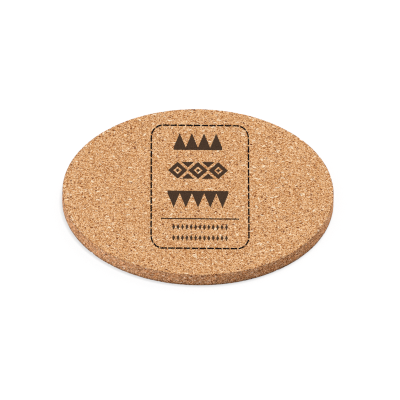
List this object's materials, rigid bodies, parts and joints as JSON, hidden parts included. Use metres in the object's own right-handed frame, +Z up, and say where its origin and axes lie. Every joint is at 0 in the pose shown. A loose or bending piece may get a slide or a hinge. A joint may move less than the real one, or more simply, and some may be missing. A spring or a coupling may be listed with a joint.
{
  "type": "drink coaster",
  "caption": "Round flat drink coaster of fine agglomerated cork, its top printed with a dashed border, geometric bands, a rule and rows of beads.",
  "frame": {"origin": "centre of the disc's underside, on the surface that the coaster lies on", "axes": "+Z up through the top face, +X to the right of the print and +Y away from the person it faces"},
  "size_m": [0.1, 0.1, 0.005],
  "materials": {
    "cork": "matte",
    "black_ink": "matte",
    "brown_ink": "matte"
  },
  "bodies": {
    "root": {"cork_disc": "cork", "printed_border": "black_ink", "printed_far_band": "brown_ink", "printed_middle_band": "brown_ink", "printed_near_band": "brown_ink", "printed_rule": "brown_ink", "printed_far_beads": "brown_ink", "printed_near_beads": "brown_ink"}
  },
  "joints": []
}
